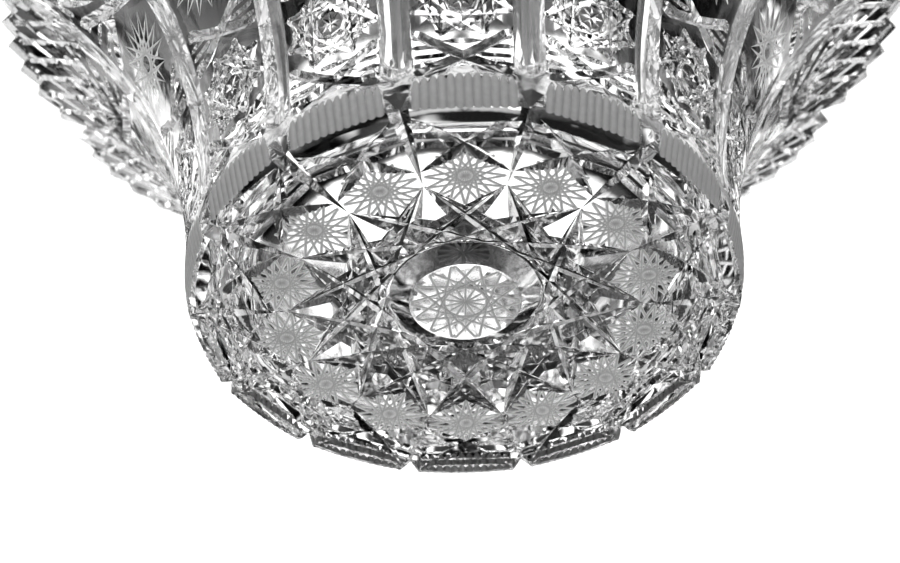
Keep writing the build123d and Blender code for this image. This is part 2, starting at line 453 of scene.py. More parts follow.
# A cross is its half widths below and above, its two heights, and width and depth.
LOW_CROSS = (0.172, 0.172), (0.150, 0.352), (0.021, 0.018)
HIGH_CROSS = (0.185, 0.185), (0.670, 0.860), (0.022, 0.020)
LIP_CROSS = (0.230, 0.250), (1.215, 1.470), (0.028, 0.026)
# Its strands are heights with their near ends, then their far end, and width and depth.
LOW_STRANDS = ((0.318, 0.105), (0.275, 0.055), (0.232, 0.050), (0.190, 0.100)), 0.172, (0.011, 0.009)
HIGH_STRANDS = ((0.825, 0.105), (0.785, 0.060), (0.745, 0.060), (0.705, 0.105)), 0.185, (0.011, 0.010)
LIP_STRANDS = ((1.42, 0.150), (1.36, 0.090), (1.30, 0.100)), 0.235, (0.014, 0.012)

# A short level leaf between the lower cross and the hobstar.
BRIDGE_HALF = 0.070 * FOOT
BRIDGE_Z = 0.296 * FOOT
BRIDGE = (0.014 * FOOT, 0.010 * FOOT)

# The net of fine mitres under the lip, and the leaves that open over it.
NET_LOW = 1.500 * FOOT
NET_HIGH = 1.800 * FOOT
NET_STEP = 0.105 * FOOT
NET_LEAN = 0.085 * FOOT
NET_HALF = 0.40 * FOOT
NET_MITRE = (0.016 * FOOT, 0.013 * FOOT)
SPRAY_LOW = 1.400 * FOOT
SPRAY_HIGH = 1.675 * FOOT
SPRAY_SAG = 0.006 * FOOT
SPRAY_FROM = 0.016 * FOOT
SPRAY_TO = 0.098 * FOOT
SPRAY_LEAF = (0.020 * FOOT, 0.018 * FOOT)


def stretch_at(z):
    """How much wider the glass is than the chart at height z."""
    s = s_at(z)
    return float(radius_at(s)) / s


def hobstar(angle):
    """Lattice lines round an octagonal button with an eight-rayed star on it."""
    centre = panel_point(angle, 0, HOB_Z)
    stretch = stretch_at(HOB_Z)
    for lattice in (HOB_LATTICE, HOB_SQUARES, HOB_OUTLINE):
        add_star(centre, *lattice, stretch, rise="bar")
    add_star(centre, *HOB_RAYS, stretch, count=4, parts=4, on="hob")


def fan_star(angle):
    """A frosted star with sixteen long rays on the plain glass of the panel."""
    centre = panel_point(angle, 0, FAN_Z)
    add_star(centre, *FAN_STAR, stretch_at(FAN_Z), parts=4, tag=FROST)


def lip_net(angle):
    """Crossed fine mitres under the lip."""
    for step in range(-4, 5):
        for side in (-1, 1):
            low = step * NET_STEP - side * NET_LEAN
            high = step * NET_STEP + side * NET_LEAN
            if max(abs(low), abs(high)) > NET_HALF:
                continue
            a = panel_point(angle, low, NET_LOW)
            b = panel_point(angle, high, NET_HIGH)
            add_cut(a, b, *NET_MITRE, rise="bar")


def leaf_spray(angle):
    """Seven long leaves that open from the upper cross towards the teeth."""
    for ray in range(-3, 4):
        a = panel_point(angle, ray * SPRAY_FROM, SPRAY_LOW)
        b = panel_point(angle, ray * SPRAY_TO, SPRAY_HIGH - SPRAY_SAG * ray * ray)
        add_cut(a, b, *SPRAY_LEAF, parts=5)


def panel_cuts():
    """The figures of the panels, from the heel up to the lip."""
    for k in (-1, 0, 1):
        angle = k * SECTOR
        add_cross(angle, *LOW_CROSS, *LOW_STRANDS)
        a = panel_point(angle, -BRIDGE_HALF, BRIDGE_Z)
        b = panel_point(angle, BRIDGE_HALF, BRIDGE_Z)
        add_cut(a, b, *BRIDGE, parts=4)
        hobstar(angle)
        add_cross(angle, *HIGH_CROSS, *HIGH_STRANDS)
        fan_star(angle)
        add_cross(angle, *LIP_CROSS, *LIP_STRANDS)
        lip_net(angle)
        leaf_spray(angle)


# ------------------------------------------------------------------ fields that aren't straight cuts
def moat_depth(pts):
    """Depth of the moat round the button of the bottom, and of the sunk button itself."""
    s = np.hypot(pts[:, 0], pts[:, 1])
    places = [0, BUTTON_R, MOAT_R, MOAT_EDGE, MOAT_EDGE + 1]
    return np.interp(s, places, [BUTTON_Z, BUTTON_Z, MOAT_Z, 0, -1])


def flute_half(s):
    """Half width of a flute at arc length s, with a rounded lower end."""
    low = s_at(FLUTE_LOW)
    up = np.clip((s - low) / FLUTE_ROUND, 0, 1)
    return FLUTE_WIDTH * np.sqrt(1 - (1 - up) ** 2)


def flute_depth(pts):
    """Depth of the hollow flute between two panels."""
    s = np.hypot(pts[:, 0], pts[:, 1])
    turn = np.arctan2(pts[:, 0], pts[:, 1])
    off = np.abs(HALF - turn) * np.interp(s, P_S, P_R)
    half = np.maximum(flute_half(s), 1e-9)
    depth = FLUTE_DEPTH * (half / FLUTE_WIDTH) * (1 - (off / half) ** 2)
    return np.where((half > 1e-6) & (off < half), depth, -1)


def window_depth(pts):
    """Depth of the ribbed facet: how far the blank stands proud of a leaning, bowed face.

    Also how deep a point lies in the groove between two rib edges: 0 at an edge, 1 in the middle.
    """
    s = np.hypot(pts[:, 0], pts[:, 1])
    turn = np.arctan2(pts[:, 0], pts[:, 1])
    r = np.interp(s, P_S, P_R)
    z = np.interp(s, P_S, P_Z)
    nr = np.interp(s, P_S, P_NR)
    nz = np.interp(s, P_S, P_NZ)
    rise = WINDOW_HIGH[1] - WINDOW_LOW[1]
    run = WINDOW_HIGH[0] - WINDOW_LOW[0]
    size = math.hypot(rise, run)
    face = np.array([rise / size, -run / size])
    forward = r * (np.cos(turn) + WINDOW_ROUND * (1 - np.cos(turn)))
    across = r * np.sin(turn)
    proud = (forward - WINDOW_LOW[0]) * face[0] + (z - WINDOW_LOW[1]) * face[1]
    phase = np.abs(across) / RIB_PITCH % 1.0
    bow = 1 - (2 * phase - 1) ** 2
    slope = np.maximum(nr * np.cos(turn) * face[0] + nz * face[1], FLATTEST)
    depth = (proud + RIB_DEPTH * bow) / slope
    inside = (np.abs(across) < WINDOW_HALF + 1e-6) & (s > LAND_EDGE) & (z < WINDOW_END)
    return np.where(inside, depth, -1), bow


def hob_depth(pts):
    """Octagonal moat that leaves an octagonal button standing."""
    s0 = s_at(HOB_Z)
    stretch = stretch_at(HOB_Z)
    inner = HOB_BUTTON * math.cos(math.pi / 8)
    outer = HOB_RING * math.cos(math.pi / 8)
    foot = inner + HOB_WALL * (outer - inner)
    best = np.full(len(pts), -1.0)
    for k in (-1, 0, 1):
        centre = polar(k * SECTOR, s0)
        out = centre / s0
        side = np.array([out[1], -out[0]])
        rel = pts - centre
        u = rel @ side * stretch
        v = rel @ out
        reach = np.zeros(len(pts))
        for m in range(8):
            a = (m + 0.5) * math.pi / 4
            reach = np.maximum(reach, u * math.sin(a) + v * math.cos(a))
        places = [0, inner, foot, outer, outer + 1]
        here = np.interp(reach, places, [HOB_SUNK, HOB_SUNK, HOB_DEPTH, 0, -1])
        best = np.maximum(best, here)
    return best


def field(pts):
    """Depth, material tag and share of the local groove's full depth at chart points."""
    moat = moat_depth(pts)
    hob = hob_depth(pts)
    window, bow = window_depth(pts)
    depth = np.zeros(len(pts))
    tag = np.zeros(len(pts), int)
    share = np.zeros(len(pts))
    for d, t in ((moat, CLEAR), (hob, CLEAR), (flute_depth(pts), FLUTE)):
        tag = np.where(d > depth, t, tag)
        depth = np.maximum(depth, d)
    share = np.where(window > depth, bow, share)
    tag = np.where(window > depth, RIB, tag)
    depth = np.maximum(depth, window)
    under = {"button": np.maximum(moat, 0), "hob": np.maximum(hob, 0), None: 0}
    for cut in cuts:
        own = cut_depth(cut, pts)
        d = np.where(own > 0, own + under[cut["on"]], own)
        share = np.where(d > depth, own / cut["d"], share)
        tag = np.where(d > depth, cut["tag"], tag)
        depth = np.maximum(depth, d)
    return depth, tag, share


# ------------------------------------------------------------------ crease lines of the chart
def cut_lines(cut):
    """Middle line, both edges and the core's edges of a cut, as chart polylines."""
    steps = rise_steps(cut)
    rise = rise_at(cut, steps)
    mid = cut["a"] + np.outer(steps, cut["b"] - cut["a"])
    core = cut["core"]
    lines = []
    for side in (-1, -core, 0, core, 1) if core else (-1, 0, 1):
        shifted = mid + side * np.outer(rise * cut["w"], cut["nor"])
        lines.append(shifted @ cut["back"].T)
    return lines


# Crossings at a small angle, near a cut's end or in a very shallow cut get no creases.
NEAR_PARALLEL = 0.15
CUT_END = 0.02
SHALLOWEST = 1e-3


def crossing_lines(p, q):
    """The creases where two crossing cuts meet, outside their middle lines."""
    a0 = p["a"] @ p["back"].T
    a1 = p["b"] @ p["back"].T
    b0 = q["a"] @ q["back"].T
    b1 = q["b"] @ q["back"].T
    da = a1 - a0
    db = b1 - b0
    det = da[0] * db[1] - da[1] * db[0]
    if abs(det) < NEAR_PARALLEL * np.linalg.norm(da) * np.linalg.norm(db):
        return []
    gap = b0 - a0
    ta = (gap[0] * db[1] - gap[1] * db[0]) / det
    tb = (gap[0] * da[1] - gap[1] * da[0]) / det
    if not (CUT_END < ta < 1 - CUT_END and CUT_END < tb < 1 - CUT_END):
        return []
    centre = a0 + ta * da
    rise_p = float(rise_at(p, np.array([ta]))[0])
    rise_q = float(rise_at(q, np.array([tb]))[0])
    if p["d"] * rise_p < q["d"] * rise_q:
        p, q = q, p
        rise_p, rise_q = rise_q, rise_p
    deep = p["d"] * rise_p
    shallow = q["d"] * rise_q
    if shallow < SHALLOWEST:
        return []
    flat = p["flat"]
    back = p["back"]
    dir_q = flat @ (q["back"] @ q["dir"])
    dir_q = dir_q / np.linalg.norm(dir_q)
    nor_q = np.array([-dir_q[1], dir_q[0]])
    wp = p["w"] * rise_p
    wq = q["w"] * rise_q
    lines = []
    system = np.array([p["nor"], nor_q])
    lean = dir_q @ p["nor"]
    for sp in (-1, 1):
        tip = dir_q * (sp * wp * (1 - shallow / deep) / lean)
        for sq in (-1, 1):
            corner = np.linalg.solve(system, np.array([sp * wp, sq * wq]))
            lines.append(np.array([centre + back @ corner, centre + back @ tip]))
    return lines


def ring_line(s, parts):
    """A ring's part inside the half sector, as a polyline."""
    return np.array([polar(HALF * k / parts, s) for k in range(parts + 1)])


def lip_outline():
    """Scalloped and toothed edge of the lip, from a panel's middle to the flute."""
    pts = []
    for k in range(TEETH + 1):
        share = k / TEETH
        notch = TOOTH if k % 2 == 0 else 0
        pts.append(polar(HALF * share, s_at(HEIGHT - SCALLOP * share**2 - notch)))
    return np.array(pts)


FLUTE_TIP_STEPS = 6
FLUTE_STEPS = 32
FLUTE_CREASES = (0.35, 0.7, 1.0)


def flute_steps():
    """Arc lengths up a flute, closer together in its rounded lower end."""
    low = s_at(FLUTE_LOW)
    turns = np.linspace(0, math.pi / 2, FLUTE_TIP_STEPS)
    up = [low + FLUTE_ROUND * (1 - math.cos(t)) for t in turns]
    up += list(np.linspace(low + FLUTE_ROUND, S_LIP, FLUTE_STEPS)[1:])
    return np.array(up)


def flute_lines():
    """Lines up a flute that give its hollow a round section."""
    up = flute_steps()
    lines = []
    for share in FLUTE_CREASES:
        turn = HALF - share * flute_half(up) / radius_at(up)
        lines.append(np.stack([up * np.sin(turn), up * np.cos(turn)], 1))
    return lines


# A line at every quarter rib, found on fine steps up the heel and kept as a few points.
MARKS = 2 * RIBS
WINDOW_FINE = 900
WINDOW_POINTS = 7
WINDOW_EDGE = 0.25


def window_lines():
    """Rib creases and the toothed outline of the heel window."""
    s = np.linspace(LAND_EDGE, s_at(WINDOW_TOP), WINDOW_FINE)
    lows = []
    highs = []
    lines = []
    for k in range(MARKS + 1):
        across = k * RIB_PITCH / 4
        turn = np.arcsin(across / radius_at(s))
        pts = np.stack([s * np.sin(turn), s * np.cos(turn)], 1)
        on = np.nonzero(window_depth(pts)[0] > 0)[0]
        lows.append(pts[on[0]])
        highs.append(pts[on[-1]])
        pick = np.linspace(on[0], on[-1], WINDOW_POINTS).astype(int)
        lines.append(pts[pick])
    last = lines[-1]
    out = np.hypot(last[:, 0], last[:, 1])
    turn = np.arcsin((WINDOW_HALF + WINDOW_EDGE) / radius_at(out))
    lines.append(np.stack([out * np.sin(turn), out * np.cos(turn)], 1))
    lines.append(np.array(lows))
    lines.append(np.array(highs))
    return lines


def hob_lines():
    """Octagons and corner lines of the button and its moat."""
    s0 = s_at(HOB_Z)
    stretch = stretch_at(HOB_Z)

    def corner(radius, m):
        a = m * math.pi / 4
        return radius * math.sin(a) / stretch, s0 + radius * math.cos(a)

    foot = HOB_BUTTON + HOB_WALL * (HOB_RING - HOB_BUTTON)
    lines = []
    for radius in (HOB_BUTTON, foot, HOB_RING):
        lines.append(np.array([corner(radius, m) for m in range(9)]))
    for m in range(8):
        lines.append(np.array([corner(HOB_BUTTON, m), corner(HOB_RING, m)]))
    return lines


EDGE_NORMAL = np.array([math.cos(HALF), -math.sin(HALF)])


def clip(a, b):
    """The part of a segment inside the half sector, or None."""
    t0 = 0.0
    t1 = 1.0
    for side_a, side_b in ((a[0], b[0]), (-(a @ EDGE_NORMAL), -(b @ EDGE_NORMAL))):
        if side_a < 0 and side_b < 0:
            return None
        if side_a < 0 or side_b < 0:
            t = side_a / (side_a - side_b)
            if side_a < 0:
                t0 = max(t0, t)
            else:
                t1 = min(t1, t)
    if t1 - t0 < 1e-9:
        return None
    return a + t0 * (b - a), a + t1 * (b - a)


def to_edge(pts):
    """Moves points that are almost on the half sector's sides exactly onto them."""
    pts = pts.copy()
    pts[np.abs(pts[:, 0]) < ON_SIDE, 0] = 0
    off = pts @ EDGE_NORMAL
    near = np.abs(off) < ON_SIDE
    pts[near] -= np.outer(off[near], EDGE_NORMAL)
    return pts


def along_outline(turn, outline):
    """Chart distance of a polyline (from a panel's middle to the flute) at given angles."""
    angles = np.arctan2(outline[:, 0], outline[:, 1])
    at = np.clip(np.searchsorted(angles, turn) - 1, 0, len(outline) - 2)
    p = outline[at]
    e = outline[at + 1] - p
    top = p[:, 0] * e[:, 1] - p[:, 1] * e[:, 0]
    low = np.sin(turn) * e[:, 1] - np.cos(turn) * e[:, 0]
    return top / low


def triangulate(lines, points, limit):
    """Constrained triangulation of the half sector, inside the outline `limit`."""
    verts = []
    edges = []
    for line in lines:
        for a, b in zip(line[:-1], line[1:]):
            piece = clip(a, b)
            if piece is None:
                continue
            verts.extend(piece)
            edges.append((len(verts) - 2, len(verts) - 1))
    verts.extend(points)
    verts = to_edge(np.array(verts))
    out = delaunay_2d_cdt([Vector(v) for v in verts], edges, [], 0, MERGE)
    xy = to_edge(np.array([tuple(v) for v in out[0]]))
    faces = np.array([tuple(f) for f in out[2]])
    mid = xy[faces].mean(1)
    turn = np.arctan2(mid[:, 0], mid[:, 1])
    s = np.hypot(mid[:, 0], mid[:, 1])
    inside = (turn > 0) & (turn < HALF)
    turn = np.clip(turn, 0, HALF)
    inside &= s < along_outline(turn, limit)
    p = xy[faces]
    area = (p[:, 1, 0] - p[:, 0, 0]) * (p[:, 2, 1] - p[:, 0, 1])
    area -= (p[:, 1, 1] - p[:, 0, 1]) * (p[:, 2, 0] - p[:, 0, 0])
    inside &= np.abs(area) > SLIVER
    return xy, faces[inside]


# ------------------------------------------------------------------ half sector of both surfaces
# Plain glass between the cuts gets an even grid of points: fine over the heel, then coarser.
SEAM_PARTS = 8
RING_PARTS = 4
SIDE_SPAN = (0.66, 0.9)
SIDE_PARTS = 7
PAST_EDGE = 1.05
HEEL_ROWS = 20
HEEL_END = 1.17 * FOOT
WALL_START = 1.18 * FOOT
WALL_ROW = 4.2
WALL_COLUMNS = 6
GRID_END = 0.97
INNER_FLOOR_ROWS = 24
INNER_GAP = 3.0
INNER_ROW = 5.0
INNER_COLUMNS = 4


def near_sector(cut):
    """True if any part of a cut, with its width, is inside the half sector."""
    for line in cut_lines(cut):
        for a, b in zip(line[:-1], line[1:]):
            if clip(a, b) is not None:
                return True
    return False


def crease_lines():
    """All the lines of the outer surface along which its triangles must have edges."""
    lines = list(side_lines)
    lines += [lip, seam_low, seam_high]
    lines += [ring_line(r, RING_PARTS) for r in (BUTTON_R, MOAT_R, MOAT_EDGE)]
    lines += [ring_line(s, SEAM_PARTS) for s in (LAND_EDGE, s_at(HEEL_EDGE[1]))]
    lines += flute_lines()
    lines += window_lines()
    lines += hob_lines()
    for cut in cuts:
        lines += cut_lines(cut)
    for i, p in enumerate(cuts):
        for q in cuts[i + 1 :]:
            lines += crossing_lines(p, q)
    return lines


def plain_grid():
    """Grid points on the plain glass between the cuts."""
    heel_rows = np.linspace(LAND_EDGE, HEEL_END, HEEL_ROWS)
    wall_rows = np.arange(WALL_START, S_LIP, WALL_ROW)
    grid = []
    for row, s in enumerate([*heel_rows, *wall_rows]):
        for col in range(WALL_COLUMNS):
            share = (col + 0.5 * (row % 2)) / (WALL_COLUMNS - 0.5)
            if 0 < share < GRID_END:
                grid.append(polar(HALF * share, s))
    for s in wall_rows:
        grid.append(polar(0, s))
    for s in heel_rows:
        grid.append(polar(0, s))
        grid.append(polar(HALF, s))
    grid = np.array(grid)
    return grid[field(grid)[0] <= 0]


def inner_grid():
    """Grid points of the smooth inside."""
    floor_rows = np.linspace(0, S_LOW, INNER_FLOOR_ROWS)[1:-1]
    wall_rows = np.arange(S_LOW + INNER_GAP, S_LIP, INNER_ROW)
    grid = []
    for s in [*floor_rows, *wall_rows]:
        for col in range(INNER_COLUMNS + 1):
            grid.append(polar(HALF * col / INNER_COLUMNS, s))
    return np.array(grid)


def zones(points, faces, low, high):
    """Zone of each face: 0 below the low seam, 1 between the seams, 2 above them."""
    mid = points[faces].mean(1)
    turn = np.clip(np.arctan2(mid[:, 0], mid[:, 1]), 0, HALF)
    s = np.hypot(mid[:, 0], mid[:, 1])
    return (s > along_outline(turn, low)).astype(int) + (s > along_outline(turn, high)).astype(int)


def on_side(i, k):
    """True if an edge of the chart lies on one of the half sector's two sides."""
    ends = chart[[i, k]]
    return np.all(np.abs(ends[:, 0]) < 1e-6) or np.all(np.abs(ends @ EDGE_NORMAL) < 1e-6)


def seam_vertices():
    """Vertices of the low seam, the high seam and the lip, from panel middle to flute."""
    owners = {}
    for face, where in zip(chart_faces.tolist(), zone.tolist()):
        for i, k in ((0, 1), (1, 2), (2, 0)):
            edge = (min(face[i], face[k]), max(face[i], face[k]))
            owners.setdefault(edge, []).append(where)
    found = [set(), set(), set()]
    for edge, sides in owners.items():
        if len(sides) == 2 and sides[0] != sides[1]:
            found[min(sides)].update(edge)
        if len(sides) == 1 and not on_side(*edge):
            found[2].update(edge)
    turn = np.arctan2(chart[:, 0], chart[:, 1])
    return [sorted(group, key=lambda i: turn[i]) for group in found]


def nearest(xy, target):
    return int(np.argmin(((xy - target) ** 2).sum(1)))


bottom_cuts()
button_cuts()
panel_cuts()
cuts = [cut for cut in cuts if near_sector(cut)]

lip = lip_outline()
seam_low = ring_line(S_LOW, SEAM_PARTS)
seam_high = ring_line(S_HIGH, SEAM_PARTS)
low_steps = np.linspace(*SIDE_SPAN, SIDE_PARTS) * FOOT
side_steps = np.concatenate([[0], low_steps, flute_steps(), [PAST_EDGE * S_LIP]])
side_lines = [np.array([polar(angle, s) for s in side_steps]) for angle in (0, HALF)]

chart, chart_faces = triangulate(crease_lines(), plain_grid(), lip)
# chart_share is the groove depth share that the ground materials paint as light and shade.
chart_depth, _, chart_share = field(chart)
face_tag = field(chart[chart_faces].mean(1))[1]
zone = zones(chart, chart_faces, seam_low, seam_high)
outer_verts = outer_point(chart, chart_depth)

edges_out = seam_vertices()
inner_lines = side_lines + [chart[e] for e in edges_out]
inner_chart, inner_faces = triangulate(inner_lines, inner_grid(), chart[edges_out[2]])
inner_zone = zones(inner_chart, inner_faces, chart[edges_out[0]], chart[edges_out[1]])
inner_verts = inner_point(inner_chart)
edges_in = [[nearest(inner_chart, chart[i]) for i in edge] for edge in edges_out]


# ------------------------------------------------------------------ pieces
# The edges that close each zone, as an index into edges_out and a material slot.
CLOSED_BY = (((0, SEAM),), ((0, SEAM), (1, SEAM)), ((1, SEAM), (2, CLEAR)))


def piece_faces(which):
    """Half-sector faces of a zone, with their material slots."""
    shift = len(outer_verts)
    faces = [tuple(f) for f in chart_faces[zone == which]]
    slots = list(face_tag[zone == which])
    faces += [tuple(f + shift) for f in inner_faces[inner_zone == which]]
    slots += [INNER] * int((inner_zone == which).sum())
    for edge, slot in CLOSED_BY[which]:
        out = edges_out[edge]
        inn = edges_in[edge]
        for k in range(len(out) - 1):
            faces.append((out[k], out[k + 1], inn[k + 1] + shift))
            faces.append((out[k], inn[k + 1] + shift, inn[k] + shift))
            slots += [slot, slot]
    return faces, slots


# Distances in metres below which doubled points and empty faces go, and the sharp angle.
WELD = 3e-6
EMPTY = 1e-6
SHARP = math.radians(16)


def build_piece(name, which, materials):
    """One closed mesh: a zone's half sector, mirrored and repeated all the way round."""
    faces, slots = piece_faces(which)
    half = np.concatenate([outer_verts, inner_verts])
    faces = np.array(faces)
    keep, faces = np.unique(faces, return_inverse=True)
    faces = faces.reshape(-1, 3)
    half = half[keep]
    share = np.concatenate([chart_share, np.zeros(len(inner_verts))])[keep]
    all_verts = []
    all_faces = []
    for k in range(SECTORS):
        c = math.cos(k * SECTOR)
        s = math.sin(k * SECTOR)
        for flip in (1, -1):
            x = half[:, 0] * flip
            y = half[:, 1]
            all_verts.append(np.stack([x * c - y * s, x * s + y * c, half[:, 2]], 1))
            turned = faces if flip == 1 else faces[:, ::-1]
            all_faces.append(turned + len(half) * (len(all_verts) - 1))
    verts = np.concatenate(all_verts) * MM
    tris = np.concatenate(all_faces)
    mesh = bpy.data.meshes.new(name)
    mesh.from_pydata(verts.tolist(), [], tris.tolist())
    mesh.polygons.foreach_set("material_index", np.tile(slots, 2 * SECTORS).astype(np.int32))
    for material in materials:
        mesh.materials.append(material)
    # The groove depth share, turned into painted light and shade by the ground materials.
    groove = mesh.attributes.new("groove", "FLOAT", "POINT")
    groove.data.foreach_set("value", np.tile(share, 2 * SECTORS).astype(np.float32))
    bm = bmesh.new()
    bm.from_mesh(mesh)
    bmesh.ops.remove_doubles(bm, verts=bm.verts, dist=WELD)
    bmesh.ops.dissolve_degenerate(bm, edges=bm.edges, dist=EMPTY)
    bmesh.ops.recalc_face_normals(bm, faces=bm.faces)
    bm.to_mesh(mesh)
    bm.free()
    mesh.shade_smooth()
    mesh.set_sharp_from_angle(angle=SHARP)
    piece = bpy.data.objects.new(name, mesh)
    bpy.context.scene.collection.objects.link(piece)
    return piece


# ------------------------------------------------------------------ materials
def new_material(name):
    """A node material, its tree and its shader."""
    material = bpy.data.materials.new(name)
    material.use_nodes = True
    tree = material.node_tree
    return material, tree, tree.nodes["Principled BSDF"]


# The flutes pass only this share and scatter the rest as white: painted light that shows the polished
# flutes light grey.
FLUTE_THROUGH = 0.80
INNER_ROUGH = 0.06
WAVE_SCALE = 90
WAVE_STRENGTH = 0.06
WAVE_HEIGHT = 0.0006
CRYSTAL_IOR = 1.54
GROUND_IOR = 1.45
GRAIN = 0.15


def crystal_material(name, through, rough):
    """Polished lead crystal: colourless, sharp, with very faint polishing waves. A `through` below 1
    mixes in white diffuse: a lighter copy that paints in light.
    """
    material, tree, shader = new_material(name)
    shader.inputs["Base Color"].default_value = (1, 1, 1, 1)
    shader.inputs["Transmission Weight"].default_value = through
    shader.inputs["IOR"].default_value = CRYSTAL_IOR
    shader.inputs["Roughness"].default_value = rough
    noise = tree.nodes.new("ShaderNodeTexNoise")
    noise.inputs["Scale"].default_value = WAVE_SCALE
    coords = tree.nodes.new("ShaderNodeTexCoord")
    bump = tree.nodes.new("ShaderNodeBump")
    bump.inputs["Strength"].default_value = WAVE_STRENGTH
    bump.inputs["Distance"].default_value = WAVE_HEIGHT
    tree.links.new(coords.outputs["Object"], noise.inputs["Vector"])
    tree.links.new(noise.outputs["Fac"], bump.inputs["Height"])
    tree.links.new(bump.outputs["Normal"], shader.inputs["Normal"])
    return material


def ground_material(name, ridge, valley, through, rough, scale):
    """Unpolished cuts: grey ground glass, with painted light and shade: the base colour runs from the
    ridge tone to the valley tone with the depth across each groove.
    """
    material, tree, shader = new_material(name)
    shader.inputs["Transmission Weight"].default_value = through
    shader.inputs["IOR"].default_value = GROUND_IOR
    shader.inputs["Roughness"].default_value = rough
    # Painted light and shade: the groove depth share sets the base colour between the ridge and valley
    # tones.
    groove = tree.nodes.new("ShaderNodeAttribute")
    groove.attribute_name = "groove"
    tone = tree.nodes.new("ShaderNodeMapRange")
    tone.inputs["To Min"].default_value = ridge
    tone.inputs["To Max"].default_value = valley
    coords = tree.nodes.new("ShaderNodeTexCoord")
    noise = tree.nodes.new("ShaderNodeTexNoise")
    noise.inputs["Scale"].default_value = scale
    noise.inputs["Detail"].default_value = 4
    grain = tree.nodes.new("ShaderNodeMapRange")
    grain.inputs["To Min"].default_value = 1 - GRAIN
    grain.inputs["To Max"].default_value = 1 + GRAIN
    product = tree.nodes.new("ShaderNodeMath")
    product.operation = "MULTIPLY"
    tree.links.new(groove.outputs["Fac"], tone.inputs["Value"])
    tree.links.new(coords.outputs["Object"], noise.inputs["Vector"])
    tree.links.new(noise.outputs["Fac"], grain.inputs["Value"])
    tree.links.new(tone.outputs["Result"], product.inputs[0])
    tree.links.new(grain.outputs["Result"], product.inputs[1])
    tree.links.new(product.outputs["Value"], shader.inputs["Base Color"])
    return material


def seam_material():
    """The faces where two zones of the same glass touch can't be seen."""
    material, tree, shader = new_material("glass_seam")
    clear = tree.nodes.new("ShaderNodeBsdfTransparent")
    output = tree.nodes["Material Output"]
    tree.links.new(clear.outputs["BSDF"], output.inputs["Surface"])
    tree.nodes.remove(shader)
    return material


crystal = crystal_material("crystal_polished", through=1.0, rough=0.0)
# Lighter copy of the polished crystal: painted light on the flutes.
flute = crystal_material("crystal_flute", through=FLUTE_THROUGH, rough=0.0)
inside = crystal_material("crystal_inside", through=1.0, rough=INNER_ROUGH)
# Ridge and valley tones are painted light and shade across the cuts; the grey itself is the ground
# glass.
frost = ground_material("crystal_ground", ridge=0.75, valley=0.36, through=0.35, rough=0.45, scale=900)
ribbed = ground_material("crystal_ribs", ridge=0.25, valley=0.34, through=0.20, rough=0.40, scale=700)
seam = seam_material()
# In the order of the slots CLEAR, FROST, RIB, SEAM, FLUTE and INNER.
slots = [crystal, frost, ribbed, seam, flute, inside]

shown = []
for which, name in enumerate(("base", "wall", "rim")):
    piece = build_piece("crystal_" + name, which, slots)
    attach(piece, "root")
    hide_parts(name)
    shown.append(piece)


# ------------------------------------------------------------------ stage
FLOOR_TONE = 0.60
FLOOR_HALF = 40 * FOOT * MM
FLOOR_DROP = 0.0004
FLOOR_ROUGH = 0.7
SHADOW_TONE = 0.05
SHADOW_FROM = 0.94 * FOOT * MM
SHADOW_TO = 1.02 * FOOT * MM


def make_floor():
    """A pale floor under the vase that can only be seen from above."""
    corners = [(x * FLOOR_HALF, y * FLOOR_HALF, 0) for x, y in ((-1, -1), (1, -1), (1, 1), (-1, 1))]
    mesh = bpy.data.meshes.new("floor")
    mesh.from_pydata(corners, [], [(0, 1, 2, 3)])
    floor = bpy.data.objects.new("floor", mesh)
    floor.location.z = -FLOOR_DROP
    floor.visible_diffuse = False
    floor.visible_glossy = False
    floor.visible_shadow = False
    bpy.context.scene.collection.objects.link(floor)
    material, tree, shader = new_material("pale_floor")
    shader.inputs["Roughness"].default_value = FLOOR_ROUGH
    # The contact shadow right under the foot, seen through the crystal.
    coords = tree.nodes.new("ShaderNodeTexCoord")
    reach = tree.nodes.new("ShaderNodeVectorMath")
    reach.operation = "LENGTH"
    tone = tree.nodes.new("ShaderNodeMapRange")
    tone.inputs["From Min"].default_value = SHADOW_FROM
    tone.inputs["From Max"].default_value = SHADOW_TO
    tone.inputs["To Min"].default_value = SHADOW_TONE
    tone.inputs["To Max"].default_value = FLOOR_TONE
    tree.links.new(coords.outputs["Object"], reach.inputs[0])
    tree.links.new(reach.outputs["Value"], tone.inputs["Value"])
    tree.links.new(tone.outputs["Result"], shader.inputs["Base Color"])
    clear = tree.nodes.new("ShaderNodeBsdfTransparent")
    side = tree.nodes.new("ShaderNodeNewGeometry")
    mix = tree.nodes.new("ShaderNodeMixShader")
    output = tree.nodes["Material Output"]
    tree.links.new(side.outputs["Backfacing"], mix.inputs["Fac"])
    tree.links.new(shader.outputs["BSDF"], mix.inputs[1])
    tree.links.new(clear.outputs["BSDF"], mix.inputs[2])
    tree.links.new(mix.outputs["Shader"], output.inputs["Surface"])
    mesh.materials.append(material)


# ------------------------------------------------------------------ light
# Each stop is a place and the brightness there, as seen through the glass.
# Heights run from 0, straight down, to 1, straight up.
OVERHEAD_STOPS = (
    (0.0, 0.3),
    (0.5, 0.5),
    (0.70, 0.8),
    (0.75, 1.2),
    (0.858, 1.2),
    (0.864, 0.10),
    (0.88, 0.03),
    (0.895, 0.03),
    (0.91, 1.5),
    (1.0, 1.5),
)
# Across the view: a lit card, black beside it, then white walls.
CARD_STOPS = ((0.0, 1.0), (0.060, 1.0), (0.080, 0.06), (0.20, 0.03), (0.27, 1.0), (1.0, 1.0))
# The black beside the card starts at this height.
UPPER_STOPS = ((0.0, 0.0), (0.66, 0.0), (0.76, 1.0), (1.0, 1.0))
# Unevenness of the walls, left out close to the view direction.
PATCH_SCALE = 3.0
WALL_STOPS = ((0.46, 0.0), (0.50, 1.2), (1.0, 1.2))
AHEAD_STOPS = ((0.0, 0.0), (0.97, 0.0), (0.985, 1.0), (1.0, 1.0))
SEEN_STRENGTH = 0.90


